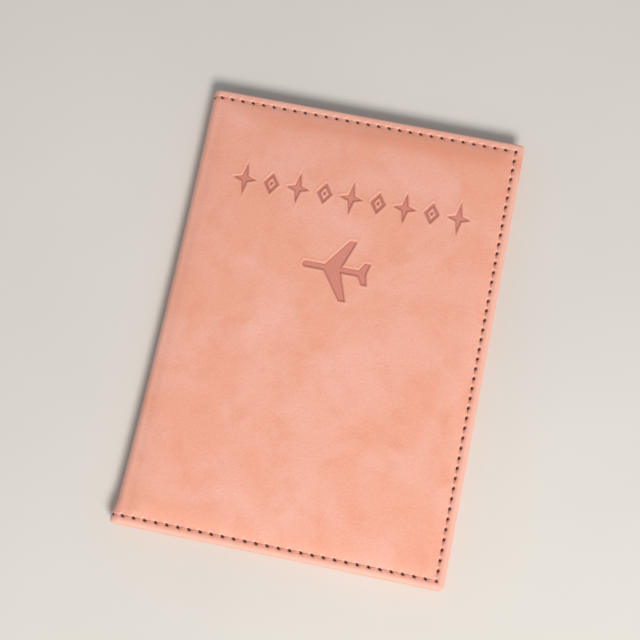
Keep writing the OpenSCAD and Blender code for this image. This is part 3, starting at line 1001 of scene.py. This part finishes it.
class HOLDER_OT_stage(Operator):
    """Lays the table top, hangs the lights and sets the camera."""

    bl_idname = "holder.stage"
    bl_label = "Stage"

    def execute(self, context):
        values = context.scene.holder_stage
        material, tree = new_material("painted_table_top")
        at = add_node(tree, "TexCoord").outputs["Object"]
        cloud = add_node(tree, "TexNoise", {"Vector": at, "Scale": 9.0, "Detail": 4})
        shade = add_node(tree, "MapRange", {0: cloud.outputs[0], 1: 0.3, 2: 0.7, 3: 0.97, 4: 1.03})
        tone = add_node(
            tree,
            "VectorMath",
            {0: tuple(values.floor), "Scale": shade.outputs[0]},
            operation="SCALE",
        )
        shader = add_node(
            tree,
            "BsdfPrincipled",
            {"Base Color": tone.outputs[0], "Roughness": 1.0, "Specular IOR Level": 0.15},
        )
        add_node(tree, "OutputMaterial", {"Surface": shader.outputs[0]})
        across, up = np.meshgrid(np.linspace(-6000, 6000, 9), np.linspace(-6000, 6000, 9))
        points = np.stack([across, up, 0 * up - 0.05], -1).reshape(-1, 3)
        add_mesh("table_top", points, grid_faces(9, 9), material)

        light = bpy.data.lights.new("window", "AREA")
        light.energy = values.key
        light.shape = "RECTANGLE"
        light.size = 0.34
        light.size_y = 0.28
        light.spread = math.radians(120)
        light.color = (1.0, 0.975, 0.95)
        window = bpy.data.objects.new("window", light)
        window.location = (0.33, -0.6, 0.74)
        window.rotation_euler = (-window.location).to_track_quat("-Z", "Y").to_euler()
        window.visible_camera = False
        context.scene.collection.objects.link(window)

        world = bpy.data.worlds.new("studio")
        world.use_nodes = True
        world.node_tree.nodes["Background"].inputs["Color"].default_value = (0.96, 0.97, 1.0, 1)
        world.node_tree.nodes["Background"].inputs["Strength"].default_value = values.fill
        context.scene.world = world
        context.scene.view_settings.view_transform = "Standard"

        data = bpy.data.cameras.new("camera")
        data.lens = 77.09
        data.sensor_width = 36
        data.clip_start = 0.01
        camera = bpy.data.objects.new("camera", data)
        ahead = Vector((-0.07239, 0.22106, -0.97257)).normalized()
        right = ahead.cross(Vector((-0.19191, 0.95382, 0.23108))).normalized()
        turn = Matrix((right, right.cross(ahead), -ahead)).transposed()
        camera.matrix_world = Matrix.Translation((0.02863, -0.09012, 0.41419)) @ turn.to_4x4()
        context.scene.collection.objects.link(camera)
        context.scene.camera = camera
        return {"FINISHED"}


class HOLDER_OT_outer_leather(Operator):
    """Makes the outer leather of both covers and the spine, with the pressed shapes on the front."""

    bl_idname = "holder.outer_leather"
    bl_label = "Outer leather"

    def execute(self, context):
        shape = lengths(context.scene.holder_shape)
        pressed = lengths(context.scene.holder_decoration)
        material = finish_named("nubuck_polyurethane_leather", nubuck_leatherette, context)
        for side, word, body in SIDES:
            stamp = pressed if side == FRONT else None
            hide = outer_hide(f"{word}_hide", side, shape, face_heights(), material, stamp)
            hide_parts(f"{body}_skin", *(["spine_skin"] if side == FRONT else []))
            bend_over_fold(hide, side)
        return {"FINISHED"}


class HOLDER_OT_fillings(Operator):
    """Makes the foam pads, and finishes the stiffener boards."""

    bl_idname = "holder.fillings"
    bl_label = "Foam and boards"

    def execute(self, context):
        shape = lengths(context.scene.holder_shape)
        heights = face_heights()
        foam = finish_named("open_cell_polyurethane_foam", open_foam, context)
        board = finish_named("recycled_grey_board", grey_board, context)
        for side, word, body in SIDES:
            low, high = span(f"{word}_foam_pad")
            place = (low[0], high[0], low[1], high[1])
            under = MARGIN - 0.85

            def crown(u, v):
                return np.maximum(under + puffed(u, v, shape, heights), BOARD[1][2] + 0.06)

            pad = layer(f"{word}_foam", side, place, BOARD[1][2], BOARD[1][2] + 0.1, foam, top=crown)
            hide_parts(f"{word}_foam_pad")
            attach(pad, body)
            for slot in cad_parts[f"{word}_stiffener_board"].material_slots:
                slot.material = board
        return {"FINISHED"}


class HOLDER_OT_lining(Operator):
    """Makes the lining of both covers and the spine."""

    bl_idname = "holder.lining"
    bl_label = "Lining"

    def execute(self, context):
        cloth = finish_named("woven_polyester_lining", woven_lining, context)
        right, top = LINING[1][0], LINING[1][1]
        for side, word, body in SIDES:
            place = (FOLD_U, right, -top, top)
            half = layer(
                f"{word}_lining_cloth", side, place, LINING[0][2], LINING[1][2], cloth,
                corner=1.0, cut=True,
            )
            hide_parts(f"{word}_lining", *(["spine_lining"] if side == FRONT else []))
            bend_over_fold(half, side)
        return {"FINISHED"}


def pocket_layer(node, name, side, body, material, rows=(), columns=(), bulge=still):
    """A pocket or panel in the place of its CAD node, sewn flat on what lies behind it."""
    low, high = span(node)
    heights = sorted(side * (np.array([low[2], high[2]]) - MIDDLE))
    place = (low[0], high[0], low[1], high[1])
    made = layer(
        name, side, place, heights[0], heights[1], material,
        corner=1.9, rows=rows, columns=columns, bulge=bulge,
    )
    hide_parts(node)
    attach(made, body)
    return made


def card_bulge(context, mouth=None):
    """Bulge of the card panel, or of the card pocket with that mouth, over the panel's own."""
    loose = context.scene.holder_shape.loose / MM
    left = span("card_panel")[0][0]

    def bulge(u, v):
        own = 0 if mouth is None else mouth_bulge(u, v, left, mouth, loose)
        return open_edge(u, v, left, 0.6 * loose) + own

    return bulge


def flap_bulge(context):
    """Bulge of the passport flap's open edge."""
    loose = context.scene.holder_shape.loose / MM
    left = span("passport_flap")[0][0]
    return lambda u, v: open_edge(u, v, left, loose)


class HOLDER_OT_card_side(Operator):
    """Makes the card panel and its three pockets inside the front cover."""

    bl_idname = "holder.card_side"
    bl_label = "Card side"

    def execute(self, context):
        leather = finish_named("thin_polyurethane_leather", pocket_leatherette, context)
        left = span("card_panel")[0][0]
        pocket_layer(
            "card_panel", "card_panel_leather", FRONT, "front_cover", leather,
            columns=[left + 1], bulge=card_bulge(context),
        )
        for word in ("upper", "middle", "lower"):
            mouth = span(f"card_pocket_{word}")[1][1]
            name = f"card_pocket_{word}_leather"
            pocket_layer(
                f"card_pocket_{word}", name, FRONT, "front_cover", leather,
                rows=[mouth - 2], bulge=card_bulge(context, mouth),
            )
        return {"FINISHED"}


class HOLDER_OT_passport_side(Operator):
    """Makes the passport flap and its small pocket inside the back cover."""

    bl_idname = "holder.passport_side"
    bl_label = "Passport side"

    def execute(self, context):
        leather = finish_named("thin_polyurethane_leather", pocket_leatherette, context)
        left = span("passport_flap")[0][0]
        pocket_layer(
            "passport_flap", "passport_flap_leather", BACK, "back_cover", leather,
            columns=[left + SEAM], bulge=flap_bulge(context),
        )
        low, high = span("small_pocket")
        pocket_layer(
            "small_pocket", "small_pocket_leather", BACK, "back_cover", leather,
            rows=[high[1] - 2], columns=[low[0] + 1.5], bulge=flap_bulge(context),
        )
        return {"FINISHED"}


class HOLDER_OT_stitching(Operator):
    """Sews every seam: the two sides of the edge seam, the spine's stitches and the pockets' rows."""

    bl_idname = "holder.stitching"
    bl_label = "Stitching"

    def sew(self, name, side, body, runs, nodes, inward=False, bulge=still):
        """One thread that rides on a body, or has its transform baked where the body is None."""
        material = finish_named("polyester_sewing_thread", polyester_thread, bpy.context)
        made = stitches(name, side, runs, material, inward, bulge)
        if nodes:
            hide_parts(*nodes)
        if body:
            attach(made, body)
        else:
            bend_over_fold(made, side)

    def execute(self, context):
        shape = lengths(context.scene.holder_shape)
        across, down = shape["stitch_across"], shape["stitch_down"]
        holes_u, _ = seam_holes(shape)
        face = MARGIN - 0.2
        for side, word, body in SIDES:
            edge = [((PANEL_X, s * SEAM_Y), (SEAM_X, s * SEAM_Y), across, face, False) for s in (1, -1)]
            edge.append(((SEAM_X, SEAM_Y), (SEAM_X, -SEAM_Y), down, face, False))
            self.sew(f"{word}_needle_stitches", side, body, edge, [f"{word}_seam_needle_thread"])
            spine = []
            for s in (1, -1):
                spine.append(((FOLD_U, s * SEAM_Y), (holes_u[0], s * SEAM_Y), 9, face, True))
                spine.append(((holes_u[0], s * SEAM_Y), (PANEL_X, s * SEAM_Y), 9, face, False))
            nodes = ["spine_seam_thread"] if side == FRONT else []
            self.sew(f"{word}_spine_stitches", side, None, spine, nodes)

        panel, lining = span("card_panel"), LINING[0][2]
        left, panel_h = panel[0][0], panel[0][2] - MIDDLE
        pockets = [span(f"card_pocket_{word}") for word in ("upper", "middle", "lower")]
        steps = [panel_h] + [p[0][2] - MIDDLE for p in pockets]
        tops = [SEAM_Y] + [p[1][1] for p in pockets] + [-SEAM_Y]
        runs = []
        for i in range(4):
            start, end = tops[i] - 0.2 * (i > 0), tops[i + 1] + 0.2 * (i < 3)
            runs.append(((SEAM_X, start), (SEAM_X, end), down, steps[i], False))
        runs.append(((left + 0.3, SEAM_Y), (SEAM_X, SEAM_Y), across, panel_h, False))
        runs.append(((left + 0.3, -SEAM_Y), (SEAM_X, -SEAM_Y), across, steps[3], False))
        nodes = ["front_seam_bobbin_thread"]
        self.sew("front_bobbin_stitches", FRONT, "front_cover", runs, nodes, True)
        runs = [((left + 1, tops[1] + 1), (left + 1, EDGE_Y - 2 * SEAM), down, panel_h, False)]
        name, bulge = "card_panel_stitches", card_bulge(context)
        self.sew(name, FRONT, "front_cover", runs, ["card_panel_thread"], True, bulge)
        runs = [
            ((left + 3, p[1][1] - 2), (EDGE_X - 2 * SEAM, p[1][1] - 2), down, p[0][2] - MIDDLE, False)
            for p in pockets
        ]
        rows = np.array([p[1][1] for p in pockets])

        def mouths(u, v):
            mouth = rows[np.argmin(np.abs(rows - 2 - v[..., None]), -1)]
            return card_bulge(context, mouth)(u, v)

        name = "card_pocket_stitches"
        self.sew(name, FRONT, "front_cover", runs, ["card_pocket_thread"], True, mouths)

        flap, small = span("passport_flap"), span("small_pocket")
        left, flap_h = flap[0][0], MIDDLE - flap[1][2]
        small_x, small_y, small_h = small[0][0], small[1][1], MIDDLE - small[1][2]
        runs = [
            ((left + 0.3, SEAM_Y), (SEAM_X, SEAM_Y), across, flap_h, False),
            ((SEAM_X, SEAM_Y), (SEAM_X, small_y + 0.2), down, flap_h, False),
            ((left + 0.3, -SEAM_Y), (small_x - 0.2, -SEAM_Y), across, flap_h, False),
            ((SEAM_X, small_y - 0.2), (SEAM_X, -SEAM_Y), down, small_h, False),
            ((small_x + 0.2, -SEAM_Y), (SEAM_X, -SEAM_Y), across, small_h, False),
        ]
        for s in (1, -1):
            runs.append(((PANEL_X, s * SEAM_Y), (left - 0.3, s * SEAM_Y), across, lining, False))
        self.sew("back_bobbin_stitches", BACK, "back_cover", runs, ["back_seam_bobbin_thread"], True)
        edge = EDGE_Y - 2 * SEAM
        runs = [((left + SEAM, edge), (left + SEAM, -edge), down, flap_h, False)]
        name, bulge = "passport_flap_stitches", flap_bulge(context)
        self.sew(name, BACK, "back_cover", runs, ["passport_flap_thread"], True, bulge)
        runs = [
            ((small_x + 1.5, -edge), (small_x + 1.5, small_y - 1), down, small_h, False),
            ((small_x + 3.5, small_y - 2), (EDGE_X - 2 * SEAM, small_y - 2), down, small_h, False),
        ]
        name = "small_pocket_stitches"
        self.sew(name, BACK, "back_cover", runs, ["small_pocket_thread"], True, bulge)
        return {"FINISHED"}


OPERATORS = (
    HOLDER_OT_stage,
    HOLDER_OT_outer_leather,
    HOLDER_OT_fillings,
    HOLDER_OT_lining,
    HOLDER_OT_card_side,
    HOLDER_OT_passport_side,
    HOLDER_OT_stitching,
)
GROUPS = {
    "holder_shape": HolderShape,
    "holder_decoration": HolderDecoration,
    "holder_colours": HolderColours,
    "holder_stage": HolderStage,
}


class HOLDER_PT_panel(Panel):
    """Lists the sizes, the colours and the pieces."""

    bl_idname = "HOLDER_PT_panel"
    bl_label = "Padded passport holder"
    bl_space_type = "VIEW_3D"
    bl_region_type = "UI"
    bl_category = "Holder"

    def draw(self, context):
        for key, group in GROUPS.items():
            box = self.layout.box()
            box.label(text=group.__doc__)
            for name in group.__annotations__:
                box.prop(getattr(context.scene, key), name)
        for kind in OPERATORS:
            self.layout.operator(kind.bl_idname)


def register():
    """Registers the classes and gives the scene its property groups."""
    for kind in (*GROUPS.values(), *OPERATORS, HOLDER_PT_panel):
        bpy.utils.register_class(kind)
    for key, group in GROUPS.items():
        setattr(bpy.types.Scene, key, PointerProperty(type=group))


def unregister():
    """Takes the property groups and the classes away again."""
    for key in GROUPS:
        delattr(bpy.types.Scene, key)
    for kind in reversed((*GROUPS.values(), *OPERATORS, HOLDER_PT_panel)):
        bpy.utils.unregister_class(kind)


def main():
    """Registers the classes and makes every piece in order."""
    register()
    for kind in OPERATORS:
        group, word = kind.bl_idname.split(".")
        getattr(getattr(bpy.ops, group), word)()


if __name__ == "__main__":
    main()
